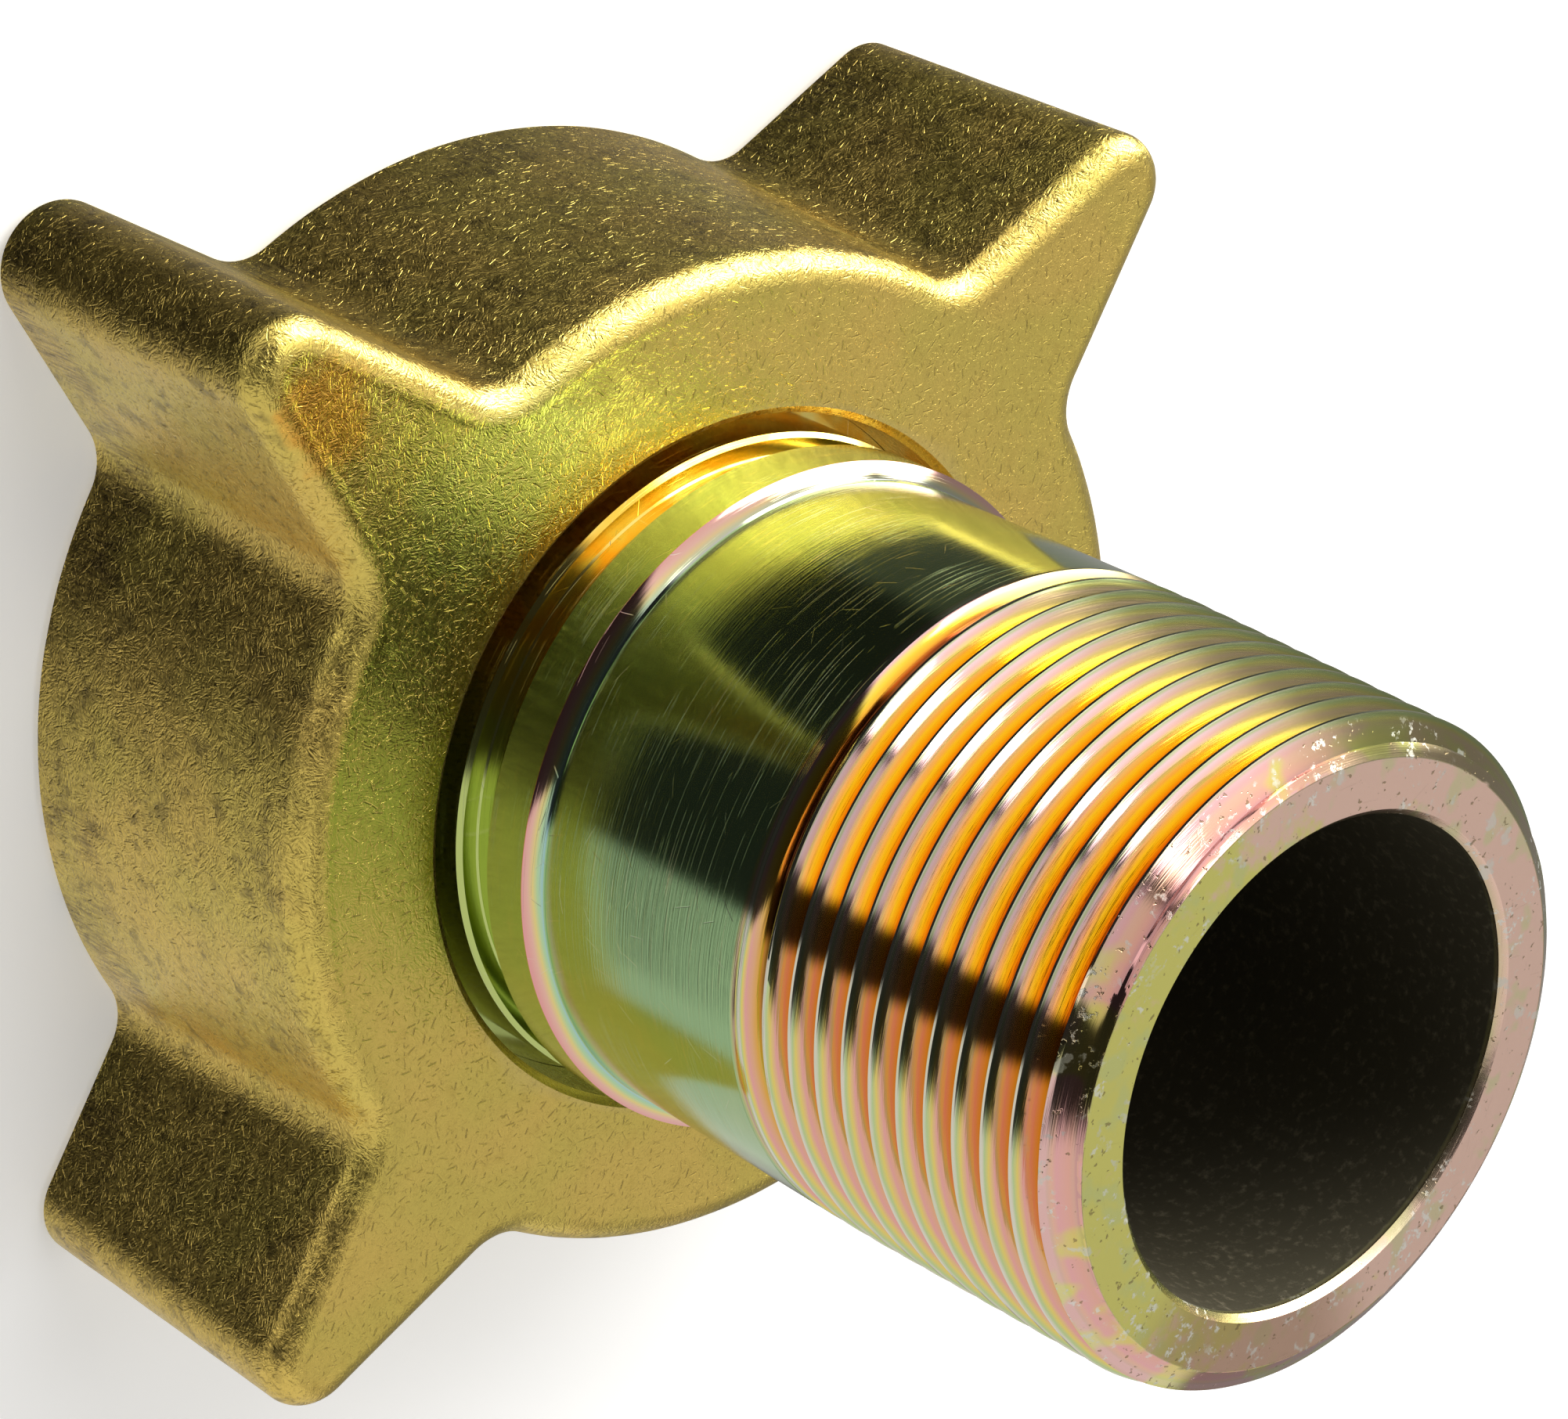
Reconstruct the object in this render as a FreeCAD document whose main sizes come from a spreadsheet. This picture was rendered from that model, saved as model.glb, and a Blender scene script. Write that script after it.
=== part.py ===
"""Filler coupling for liquefied gas: a forged brass wing nut that turns on a plated steel nipple.

Millimetres, +Z up along the swivel axis. The origin is on that axis at the nut's flat mouth face, on
which the coupling stands. The nipple points up and ends in a male 1-1/4 inch taper pipe thread. The
nut's mouth, underneath, has a female 2-1/4 inch six-per-inch trapezoidal thread.
"""
import FreeCAD, Part
import math
import os
import Sketcher

INCH = 25.4

doc = FreeCAD.newDocument("filler_coupling")
sheet = doc.addObject("Spreadsheet::Sheet", "sizes")

# Driving sizes, one cell each
SIZES = {
    # coupling nut
    "nut_length": 27.0,
    "nut_front_diameter": 66.7,
    "nut_draft_rise": 2.0,
    "nut_front_round": 1.9,
    "nut_mouth_bevel": 0.6,
    "wing_count": 4,
    "wing_reach": 49.8,
    "wing_tip_radius": 4.1,
    "wing_flank_angle": 15.2,
    "wing_draft_angle": 1.25,
    "wing_root_fillet": 4.0,
    "shoulder_thickness": 5.5,
    "nut_bore_chamfer": 0.5,
    # female trapezoidal thread in the nut, its crests left plain
    "mouth_thread_diameter": 2.25 * INCH,
    "mouth_thread_pitch": INCH / 6,
    "thread_relief_lead": 0.5,
    "thread_relief_clearance": 0.3,
    # nipple, from its flange to its threaded end
    "barrel_diameter": 42.16,
    "barrel_length": 17.5,
    "barrel_wall": 6.12,
    "gas_bore_chamfer": 0.4,
    "flange_thickness": 4.5,
    "flange_clearance": 0.7,
    "flange_chamfer": 0.5,
    "flange_rim": 2.96,
    "shank_rise": 0.97,
    "shank_clearance": 1.1,
    "shank_proud": 0.4,
    "shank_edge": 0.3,
    "groove_sink": 0.43,
    "groove_width": 2.9,
    "collar_rise": 1.07,
    "collar_length": 3.6,
    "collar_bevel": 0.7,
    # male taper pipe thread on the nipple
    "pipe_thread_length": 26.3,
    "pipe_thread_end_drop": 0.68,
    "pipe_end_chamfer": 1.3,
    "pipe_end_chamfer_drop": 2.0,
    # gasket in the flange's recess
    "gasket_width": 6.5,
    "gasket_thickness": 3.0,
    "gasket_proud": 0.8,
    "gasket_clearance": 0.3,
    # gap between the flange and the nut's shoulder
    "swivel_play": 0.1,
}

# Sizes and places that follow from the driving ones
DERIVED = {
    "pipe_thread_slope": "1 / 32",
    "nut_front_radius": "nut_front_diameter / 2",
    "nut_mouth_radius": "nut_front_radius + nut_draft_rise",
    "thread_crest_radius": "(mouth_thread_diameter - mouth_thread_pitch) / 2",
    "thread_relief_radius": "mouth_thread_diameter / 2 + thread_relief_clearance",
    "shoulder_base": "nut_length - shoulder_thickness",
    "barrel_radius": "barrel_diameter / 2",
    "gas_bore_radius": "barrel_radius - barrel_wall",
    "shank_radius": "barrel_radius + shank_rise",
    "groove_radius": "barrel_radius - groove_sink",
    "collar_radius": "barrel_radius + collar_rise",
    "nut_bore_radius": "shank_radius + shank_clearance",
    "flange_radius": "thread_crest_radius - flange_clearance",
    "recess_radius": "flange_radius - flange_rim",
    "recess_depth": "gasket_thickness - gasket_proud",
    "gasket_outer_radius": "recess_radius - gasket_clearance",
    "gasket_inner_radius": "gasket_outer_radius - gasket_width",
    "shank_top": "flange_thickness + swivel_play + shoulder_thickness + shank_proud",
    "groove_top": "shank_top + groove_width",
    "collar_top": "groove_top + collar_length",
    "barrel_base": "collar_top + collar_bevel",
    "thread_base": "barrel_base + barrel_length",
    "nipple_length": "thread_base + pipe_thread_length",
    "pipe_taper_base": "nipple_length - pipe_thread_end_drop / pipe_thread_slope",
    "pipe_chamfer_base": "nipple_length - pipe_end_chamfer",
    "pipe_end_radius": "barrel_radius - pipe_thread_end_drop",
    "pipe_chamfer_radius": "pipe_end_radius + pipe_end_chamfer * pipe_thread_slope",
    "end_face_radius": "pipe_end_radius - pipe_end_chamfer_drop",
    "nipple_base": "shoulder_base - swivel_play - flange_thickness",
    "gasket_base": "nipple_base - gasket_proud",
    "relief_base": "gasket_base - thread_relief_lead",
    "wing_tip_centre": "wing_reach - wing_tip_radius",
}


def fill_sheet():
    row = 1
    for name, value in SIZES.items():
        sheet.set(f"A{row}", name)
        sheet.set(f"B{row}", repr(value))
        sheet.setAlias(f"B{row}", name)
        row += 1
    for name, formula in DERIVED.items():
        sheet.set(f"A{row}", name)
        sheet.set(f"B{row}", "=" + formula)
        sheet.setAlias(f"B{row}", name)
        row += 1
    doc.recompute()


def size(name):
    return float(sheet.get(name))


def in_sheet(formula):
    """The formula with each size name written as this sheet's alias."""
    words = []
    for word in formula.split():
        words.append("sizes." + word if word[0].isalpha() else word)
    return " ".join(words)


def value_of(formula):
    """The number that a formula of size names, +, - and / gives."""
    words = []
    for word in formula.split():
        words.append(str(size(word)) if word[0].isalpha() else word)
    return float(sheet.evalExpression(" ".join(words)))


def new_body(label):
    body = doc.addObject("PartDesign::Body", label)
    body.Label = label
    return body


def origin_part(body, role):
    return next(item for item in body.Origin.OriginFeatures if item.Role == role)


def new_sketch(body, name, plane):
    sketch = body.newObject("Sketcher::SketchObject", name)
    sketch.AttachmentSupport = [(origin_part(body, plane), "")]
    sketch.MapMode = "FlatFace"
    return sketch


def bind(sketch, constraint, name, formula):
    """Add a driving constraint and bind it to the sheet."""
    index = sketch.addConstraint(constraint)
    sketch.renameConstraint(index, name)
    sketch.setExpression("Constraints." + name, in_sheet(formula))


def closed_profile(body, name, points):
    """A closed polygon on the XZ plane. Each corner is a pair of formulas, its radius and its height."""
    sketch = new_sketch(body, name, "XZ_Plane")
    corners = [FreeCAD.Vector(value_of(radius), value_of(height), 0) for radius, height in points]
    count = len(corners)
    for index in range(count):
        sketch.addGeometry(Part.LineSegment(corners[index], corners[(index + 1) % count]), False)
    for index in range(count):
        sketch.addConstraint(Sketcher.Constraint("Coincident", index, 2, (index + 1) % count, 1))
    for index, (radius, height) in enumerate(points):
        for word, formula, axis, place in (
            ("DistanceX", radius, -2, corners[index].x),
            ("DistanceY", height, -1, corners[index].y),
        ):
            if formula == "0":
                sketch.addConstraint(Sketcher.Constraint("PointOnObject", index, 1, axis))
            else:
                label = f"{word[-1]}{index}"
                bind(sketch, Sketcher.Constraint(word, -1, 1, index, 1, place), label, formula)
    doc.recompute()
    return sketch


def turned(body, kind, name, sketch):
    """A full turn of a profile about the body's Z axis."""
    feature = body.newObject(kind, name)
    feature.Profile = sketch
    feature.ReferenceAxis = (origin_part(body, "Z_Axis"), [""])
    feature.Angle = 360
    doc.recompute()
    return feature


def edge_names(feature, wanted):
    return [f"Edge{i + 1}" for i, edge in enumerate(feature.Shape.Edges) if wanted(edge)]


def dress_edges(body, kind, name, wanted, formula):
    """A fillet or a chamfer on the wanted edges of the body so far."""
    base = body.Tip
    feature = body.newObject("PartDesign::" + kind, name)
    feature.Base = (base, edge_names(base, wanted))
    feature.setExpression("Radius" if kind == "Fillet" else "Size", in_sheet(formula))
    doc.recompute()
    return feature


def middle(edge):
    return edge.valueAt((edge.FirstParameter + edge.LastParameter) / 2)


def distance_from_axis(point):
    return math.hypot(point.x, point.y)


def wing_outline(body):
    """One wing seen along the axis: a full round tip and two flanks that spread towards the nut."""
    sketch = new_sketch(body, "wing_outline", "XY_Plane")
    centre = size("wing_tip_centre")
    tip = size("wing_tip_radius")
    flank = math.radians(size("wing_flank_angle"))
    root = (size("nut_bore_radius") + size("nut_front_radius")) / 2
    touch_x = centre + tip * math.sin(flank)
    touch_y = tip * math.cos(flank)
    root_y = touch_y + (touch_x - root) * math.tan(flank)
    sides = {}
    for side in (1, -1):
        near = FreeCAD.Vector(touch_x, side * touch_y, 0)
        far = FreeCAD.Vector(root, side * root_y, 0)
        sides[side] = sketch.addGeometry(Part.LineSegment(near, far), False)
    circle = Part.Circle(FreeCAD.Vector(centre, 0, 0), FreeCAD.Vector(0, 0, 1), tip)
    round_tip = sketch.addGeometry(Part.ArcOfCircle(circle, flank - math.pi / 2, math.pi / 2 - flank), False)
    low = FreeCAD.Vector(root, -root_y, 0)
    high = FreeCAD.Vector(root, root_y, 0)
    inner = sketch.addGeometry(Part.LineSegment(low, high), False)
    sketch.addConstraint(Sketcher.Constraint("Tangent", sides[1], 1, round_tip, 2))
    sketch.addConstraint(Sketcher.Constraint("Tangent", sides[-1], 1, round_tip, 1))
    sketch.addConstraint(Sketcher.Constraint("Coincident", sides[1], 2, inner, 2))
    sketch.addConstraint(Sketcher.Constraint("Coincident", sides[-1], 2, inner, 1))
    sketch.addConstraint(Sketcher.Constraint("PointOnObject", round_tip, 3, -1))
    sketch.addConstraint(Sketcher.Constraint("Symmetric", sides[1], 2, sides[-1], 2, -1))
    bind(sketch, Sketcher.Constraint("Radius", round_tip, tip), "tip_radius", "wing_tip_radius")
    bind(sketch, Sketcher.Constraint("DistanceX", -1, 1, round_tip, 3, centre), "tip_centre", "wing_tip_centre")
    bind(
        sketch,
        Sketcher.Constraint("DistanceX", -1, 1, inner, 1, root),
        "root_place",
        "( nut_bore_radius + nut_front_radius ) / 2",
    )
    slant = sketch.addConstraint(Sketcher.Constraint("Angle", sides[1], 2, sides[-1], 2, 2 * flank))
    sketch.renameConstraint(slant, "flank_spread")
    sketch.setExpression("Constraints.flank_spread", "2 deg * sizes.wing_flank_angle")
    doc.recompute()
    return sketch


def forged_wings():
    """The ring of wings before it is joined to the nut: flat drafted flanks and drafted round tips."""
    body = new_body("forged_wings")
    wing = body.newObject("PartDesign::Pad", "wing")
    wing.Profile = wing_outline(body)
    wing.setExpression("Length", in_sheet("nut_length"))
    doc.recompute()

    def is_drafted(face):
        level = abs(face.BoundBox.ZLength) < 1e-6
        root = face.BoundBox.XLength < 1e-6
        return not level and not root

    draft = body.newObject("PartDesign::Draft", "wing_draft")
    sides = [f"Face{i + 1}" for i, face in enumerate(wing.Shape.Faces) if is_drafted(face)]
    draft.Base = (wing, sides)
    draft.NeutralPlane = (origin_part(body, "XY_Plane"), [""])
    draft.setExpression("Angle", "1 deg * sizes.wing_draft_angle")
    doc.recompute()
    ring = body.newObject("PartDesign::PolarPattern", "wing_ring")
    ring.TransformMode = "Whole shape"
    ring.Axis = (origin_part(body, "Z_Axis"), [""])
    ring.Angle = 360
    ring.setExpression("Occurrences", in_sheet("wing_count"))
    body.Tip = ring
    doc.recompute()
    return body


def coupling_nut():
    """Forged nut: a drafted round body with wings, a threaded mouth and a shoulder with a bore."""
    body = new_body("coupling_nut")
    outside = [
        ("0", "0"),
        ("nut_mouth_radius", "0"),
        ("nut_front_radius", "nut_length"),
        ("0", "nut_length"),
    ]
    turned(body, "PartDesign::Revolution", "nut_body", closed_profile(body, "nut_outside", outside))
    wings = body.newObject("PartDesign::Boolean", "wings_joined")
    wings.setObjects([forged_wings()])
    wings.Type = "Fuse"
    doc.recompute()

    length = size("nut_length")

    def is_wing_root(edge):
        low = min(vertex.Point.z for vertex in edge.Vertexes)
        high = max(vertex.Point.z for vertex in edge.Vertexes)
        on_body = distance_from_axis(middle(edge)) < size("nut_mouth_radius")
        return high - low > length / 2 and on_body and len(edge.Vertexes) == 2 and abs(middle(edge).y) > 0.1

    dress_edges(body, "Fillet", "wing_roots", is_wing_root, "wing_root_fillet")

    def lies_at(height):
        return lambda edge: all(abs(vertex.Point.z - height) < 1e-4 for vertex in edge.Vertexes)

    dress_edges(body, "Fillet", "front_round", lies_at(length), "nut_front_round")
    dress_edges(body, "Chamfer", "mouth_bevel", lies_at(0.0), "nut_mouth_bevel")
    inside = [
        ("0", "0"),
        ("thread_relief_radius", "0"),
        ("thread_crest_radius", "thread_relief_radius - thread_crest_radius"),
        ("thread_crest_radius", "relief_base"),
        ("thread_relief_radius", "relief_base"),
        ("thread_relief_radius", "shoulder_base"),
        ("nut_bore_radius", "shoulder_base"),
        ("nut_bore_radius", "nut_length - nut_bore_chamfer"),
        ("nut_bore_radius + nut_bore_chamfer", "nut_length"),
        ("0", "nut_length"),
    ]
    turned(body, "PartDesign::Groove", "nut_cavity", closed_profile(body, "nut_inside", inside))
    return body


def nipple():
    """Turned nipple: flange with a gasket recess, shank, groove, collar, barrel and tapered end."""
    body = new_body("nipple")
    section = [
        ("gas_bore_radius", "recess_depth"),
        ("recess_radius", "recess_depth"),
        ("recess_radius", "0"),
        ("flange_radius - flange_chamfer", "0"),
        ("flange_radius", "flange_chamfer"),
        ("flange_radius", "flange_thickness - flange_chamfer"),
        ("flange_radius - flange_chamfer", "flange_thickness"),
        ("shank_radius", "flange_thickness"),
        ("shank_radius", "shank_top - shank_edge"),
        ("shank_radius - shank_edge", "shank_top"),
        ("groove_radius", "shank_top"),
        ("groove_radius", "groove_top"),
        ("collar_radius", "groove_top"),
        ("collar_radius", "collar_top"),
        ("barrel_radius", "barrel_base"),
        ("barrel_radius", "pipe_taper_base"),
        ("pipe_chamfer_radius", "pipe_chamfer_base"),
        ("end_face_radius", "nipple_length"),
        ("gas_bore_radius + gas_bore_chamfer", "nipple_length"),
        ("gas_bore_radius", "nipple_length - gas_bore_chamfer"),
    ]
    turned(body, "PartDesign::Revolution", "nipple_turning", closed_profile(body, "nipple_section", section))
    body.setExpression(".Placement.Base.z", in_sheet("nipple_base"))
    return body


def gasket():
    """Rubber washer that seals the coupling against the tank's valve."""
    body = new_body("gasket")
    section = [
        ("gasket_inner_radius", "0"),
        ("gasket_outer_radius", "0"),
        ("gasket_outer_radius", "gasket_thickness"),
        ("gasket_inner_radius", "gasket_thickness"),
    ]
    turned(body, "PartDesign::Revolution", "gasket_ring", closed_profile(body, "gasket_section", section))
    body.setExpression(".Placement.Base.z", in_sheet("gasket_base"))
    return body


def check_document():
    for item in doc.Objects:
        if "Invalid" in item.State or "Error" in item.State:
            raise RuntimeError(f"{item.Name} failed: {item.State}")


def write_parts(bodies):
    os.makedirs("parts", exist_ok=True)
    for body in bodies:
        if body.Shape.isNull() or not body.Shape.isValid():
            raise RuntimeError(f"{body.Label} has no valid shape")
        body.Shape.exportStep(f"parts/{body.Label}.step")
        print(body.Label, len(body.Shape.Solids), round(body.Shape.Volume, 1), body.Shape.BoundBox)


fill_sheet()
parts = [coupling_nut(), nipple(), gasket()]
doc.recompute()
check_document()
write_parts(parts)
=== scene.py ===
"""Looks of the gas filler coupling: forged brass wing nut, yellow-plated steel nipple and rubber gasket."""
import math

import bmesh
import bpy
from mathutils import Matrix, Vector, noise


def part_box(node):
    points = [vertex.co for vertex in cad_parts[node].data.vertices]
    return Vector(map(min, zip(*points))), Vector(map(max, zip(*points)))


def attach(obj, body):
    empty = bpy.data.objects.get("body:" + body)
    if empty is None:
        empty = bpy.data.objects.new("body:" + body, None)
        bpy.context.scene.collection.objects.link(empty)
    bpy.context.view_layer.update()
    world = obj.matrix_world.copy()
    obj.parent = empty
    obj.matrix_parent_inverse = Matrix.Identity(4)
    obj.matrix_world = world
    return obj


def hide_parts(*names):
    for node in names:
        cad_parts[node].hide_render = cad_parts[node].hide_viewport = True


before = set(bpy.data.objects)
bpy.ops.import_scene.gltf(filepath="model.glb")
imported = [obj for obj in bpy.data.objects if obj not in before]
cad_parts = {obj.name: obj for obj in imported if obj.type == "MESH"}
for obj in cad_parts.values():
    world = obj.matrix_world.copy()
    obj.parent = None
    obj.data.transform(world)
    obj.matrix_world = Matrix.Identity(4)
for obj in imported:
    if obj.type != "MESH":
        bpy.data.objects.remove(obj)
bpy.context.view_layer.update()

MM = 0.001
TURN = 2 * math.pi

_, nut_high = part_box("coupling_nut")
nipple_low, nipple_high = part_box("nipple")
gasket_low, gasket_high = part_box("gasket")

# Coupling nut, in millimetres
NUT_LENGTH = nut_high.z / MM
WING_REACH = nut_high.x / MM
BODY_MOUTH_RADIUS = 35.35
BODY_FRONT_RADIUS = 33.35
WING_COUNT = 4
WING_TIP_RADIUS = 4.1
WING_FLANK_ANGLE = math.radians(15.2)
WING_DRAFT = math.tan(math.radians(1.25))
WING_ROOT_FILLET = 4.0
FRONT_ROUND = 1.9
MOUTH_BEVEL = 0.6
NUT_BORE_RADIUS = 23.15
NUT_BORE_CHAMFER = 0.5
SHOULDER_BASE = NUT_LENGTH - 5.5
# How far the struck front face lies below the crest of the front round
FACE_SINK = 0.035
# Depth of the forging's dents
DENT_DEPTH = 0.06
FACE_DENT_DEPTH = 0.05

# Female trapezoidal thread in the nut's mouth
INCH = 25.4
MOUTH_PITCH = INCH / 6
MOUTH_FLANK_ANGLE = math.radians(14.5)
MOUTH_MAJOR_RADIUS = INCH * 2.25 / 2
MOUTH_CREST_RADIUS = MOUTH_MAJOR_RADIUS - MOUTH_PITCH / 2
MOUTH_ROOT_RADIUS = MOUTH_MAJOR_RADIUS + 0.13
MOUTH_CREST_WIDTH = 0.3707 * MOUTH_PITCH
RELIEF_RADIUS = MOUTH_MAJOR_RADIUS + 0.3
RELIEF_BASE = gasket_low.z / MM - 0.5

# Nipple
NIPPLE_STEPS = 256
NIPPLE_EDGE = 0.12
NIPPLE_TOP = nipple_high.z / MM
NIPPLE_BASE = nipple_low.z / MM
FLANGE_RADIUS = nipple_high.x / MM
FLANGE_TOP = NIPPLE_BASE + 4.5
FLANGE_CHAMFER = 0.5
SHANK_RADIUS = 22.05
SHANK_TOP = NUT_LENGTH + 0.4
SHANK_CHAMFER = 0.3
GROOVE_RADIUS = 20.65
GROOVE_TOP = SHANK_TOP + 2.9
COLLAR_RADIUS = 22.15
COLLAR_TOP = GROOVE_TOP + 3.6
BARREL_BASE = COLLAR_TOP + 0.7
BARREL_RADIUS = 21.08
THREAD_BASE = BARREL_BASE + 17.5
GAS_BORE_RADIUS = 14.96
GAS_BORE_CHAMFER = 0.4
RECESS_RADIUS = gasket_high.x / MM + 0.3
RECESS_TOP = gasket_high.z / MM

# Male taper pipe thread on the nipple
PIPE_PITCH = INCH / 11.5
PIPE_FLANK_ANGLE = math.radians(30)
PIPE_SLOPE = 1 / 32
PIPE_END_RADIUS = 20.4
PIPE_TAPER_BASE = NIPPLE_TOP - (BARREL_RADIUS - PIPE_END_RADIUS) / PIPE_SLOPE
PIPE_DEPTH = 1.62
PIPE_FULL_DEPTH_AT = THREAD_BASE + 1.6 * PIPE_PITCH
# Height over which the barrel's finish turns into the thread's
THREAD_FADE = 0.6
END_FACE_RADIUS = 18.4
END_CHAMFER = 1.3

# Gasket
GASKET_STEPS = 192
GASKET_INNER = 16.0
GASKET_OUTER = gasket_high.x / MM
GASKET_RIM = 0.35
BEAD_RADII = (18.2, 20.6)
BEAD_HALF_WIDTH = 0.45
BEAD_HEIGHT = 0.12


class Number:
    """A socket that carries one number, with Python's arithmetic written as Math nodes."""

    def __init__(self, tree, socket):
        self.tree = tree
        self.socket = socket

    def math(self, operation, *others, clamp=False):
        """This number with the others through one Math node."""
        values = dict(enumerate((self, *others)))
        settings = {"operation": operation, "use_clamp": clamp}
        return Number(self.tree, self.tree.node("ShaderNodeMath", settings, values).outputs[0])

    def swapped(self, operation, other):
        """The same with this number as the second one, for the reflected operators."""
        made = self.tree.node("ShaderNodeMath", {"operation": operation}, {0: other, 1: self})
        return Number(self.tree, made.outputs[0])

    def __add__(self, other):
        return self.math("ADD", other)

    __radd__ = __add__

    def __mul__(self, other):
        return self.math("MULTIPLY", other)

    __rmul__ = __mul__

    def __sub__(self, other):
        return self.math("SUBTRACT", other)

    def __rsub__(self, other):
        return self.swapped("SUBTRACT", other)

    def __truediv__(self, other):
        return self.math("DIVIDE", other)

    def __rtruediv__(self, other):
        return self.swapped("DIVIDE", other)

    def __pow__(self, other):
        return self.math("POWER", other)

    def __abs__(self):
        return self.math("ABSOLUTE")

    def __neg__(self):
        return self * -1

    def clamp(self):
        """Held between zero and one."""
        return self.math("ADD", 0.0, clamp=True)

    def step(self, start, end, low=0.0, high=1.0):
        """Smooth step from low at start to high at end."""
        if start > end:
            start, end, low, high = end, start, high, low
        values = {"Value": self, "From Min": start, "From Max": end, "To Min": low, "To Max": high}
        made = self.tree.node("ShaderNodeMapRange", {"interpolation_type": "SMOOTHSTEP"}, values)
        return Number(self.tree, made.outputs["Result"])

    def band(self, start, end, soft):
        """One between start and end, fading to nothing over soft outside them."""
        return self.step(start - soft, start) * self.step(end + soft, end)


class Tree:
    """The node tree of a material or of the world, emptied and filled again."""

    def __init__(self, owner):
        owner.use_nodes = True
        self.nodes = owner.node_tree.nodes
        self.links = owner.node_tree.links
        self.nodes.clear()

    def node(self, kind, settings=None, values=None):
        """A node of a type, with its settings first and then the values or links of its sockets."""
        made = self.nodes.new(kind)
        for name, setting in (settings or {}).items():
            if name == "stops":
                self.fill_ramp(made.color_ramp, setting)
            else:
                setattr(made, name, setting)
        for name, value in (values or {}).items():
            value = getattr(value, "socket", value)
            if isinstance(value, bpy.types.NodeSocket):
                self.links.new(value, made.inputs[name])
            else:
                made.inputs[name].default_value = value
        return made

    @staticmethod
    def fill_ramp(ramp, stops):
        while len(ramp.elements) > 1:
            ramp.elements.remove(ramp.elements[-1])
        for index, (place, color) in enumerate(stops):
            stop = ramp.elements[0] if index == 0 else ramp.elements.new(place)
            stop.position = place
            stop.color = (*color, 1.0)

    def number(self, kind, settings=None, values=None, output=0):
        return Number(self, self.node(kind, settings, values).outputs[output])

    def place(self):
        """Place on the piece in millimetres, as a vector socket."""
        there = self.node("ShaderNodeTexCoord").outputs["Object"]
        return self.scaled(there, 1 / MM)

    def scaled(self, vector, factor):
        """A vector times a number, or times another vector part by part."""
        if isinstance(factor, (int, float)):
            values = {0: vector, "Scale": factor}
            return self.node("ShaderNodeVectorMath", {"operation": "SCALE"}, values).outputs[0]
        return self.vector("MULTIPLY", vector, factor)

    def vector(self, operation, first, second, output=0):
        values = {0: first, 1: second}
        return self.node("ShaderNodeVectorMath", {"operation": operation}, values).outputs[output]

    def parts(self, vector):
        made = self.node("ShaderNodeSeparateXYZ", None, {0: vector})
        return [Number(self, socket) for socket in made.outputs]

    def joined(self, x, y, z):
        return self.node("ShaderNodeCombineXYZ", None, {0: x, 1: y, 2: z}).outputs[0]

    def noise(self, vector, scale, detail=2.0, rough=0.5):
        values = {"Vector": vector, "Scale": scale, "Detail": detail, "Roughness": rough}
        return self.number("ShaderNodeTexNoise", None, values)

    def attribute(self, name):
        return self.number("ShaderNodeAttribute", {"attribute_name": name}, None, "Fac")

    def mix(self, factor, first, second):
        """Mix of two colours."""
        first = (*first, 1.0) if isinstance(first, tuple) else first
        second = (*second, 1.0) if isinstance(second, tuple) else second
        return self.node("ShaderNodeMix", {"data_type": "RGBA"}, {0: factor, 6: first, 7: second}).outputs[2]

    def ramp(self, factor, stops):
        return self.node("ShaderNodeValToRGB", {"stops": stops}, {0: factor}).outputs[0]

    def bump(self, height, distance):
        """The normal of a surface that a height of one raises by distance, in millimetres."""
        values = {"Height": height, "Distance": distance * MM, "Strength": 1.0}
        return self.node("ShaderNodeBump", None, values).outputs[0]

    def surface(self, **values):
        """The finished shader, its sockets named in words with _ for a space."""
        named = {name.replace("_", " "): value for name, value in values.items()}
        shader = self.node("ShaderNodeBsdfPrincipled", None, named)
        self.node("ShaderNodeOutputMaterial", None, {0: shader.outputs[0]})

    def flattened(self, vector, facing):
        """The part of a vector that lies along the surface."""
        out = self.vector("DOT_PRODUCT", vector, facing, "Value")
        return self.vector("SUBTRACT", vector, self.scaled(facing, self.joined(out, out, out)))

    def cells(self, where, per_mm, seed):
        """Random cells: the way from a cell's middle, a direction along the surface and a number for each."""
        facing = self.node("ShaderNodeTexCoord").outputs["Normal"]
        moved = self.vector("ADD", where, (seed, seed * 1.7, seed * 0.6))
        made = self.node("ShaderNodeTexVoronoi", {"feature": "F1"}, {"Vector": moved, "Scale": per_mm})
        lean = self.vector("SUBTRACT", made.outputs["Color"], (0.5, 0.5, 0.5))
        lean = self.flattened(lean, facing)
        lean = self.node("ShaderNodeVectorMath", {"operation": "NORMALIZE"}, {0: lean}).outputs[0]
        local = self.flattened(self.vector("SUBTRACT", moved, made.outputs["Position"]), facing)
        chance = self.parts(made.outputs["Color"])[0]
        return local, lean, chance

    def nicks(self, where, per_mm, long, wide, rare, seed):
        """Short straight nicks in random directions, in all cells but a share of them. One inside a nick."""
        local, lean, chance = self.cells(where, per_mm, seed)
        along = Number(self, self.vector("DOT_PRODUCT", local, lean, "Value"))
        length = self.node("ShaderNodeVectorMath", {"operation": "LENGTH"}, {0: local})
        reach = Number(self, length.outputs["Value"])
        aside = (reach * reach - along * along).math("MAXIMUM", 0.0) ** 0.5
        mark = aside.step(wide, wide * 0.2) * abs(along).step(long, long * 0.5)
        return mark * chance.step(rare, rare + 0.25)

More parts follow.
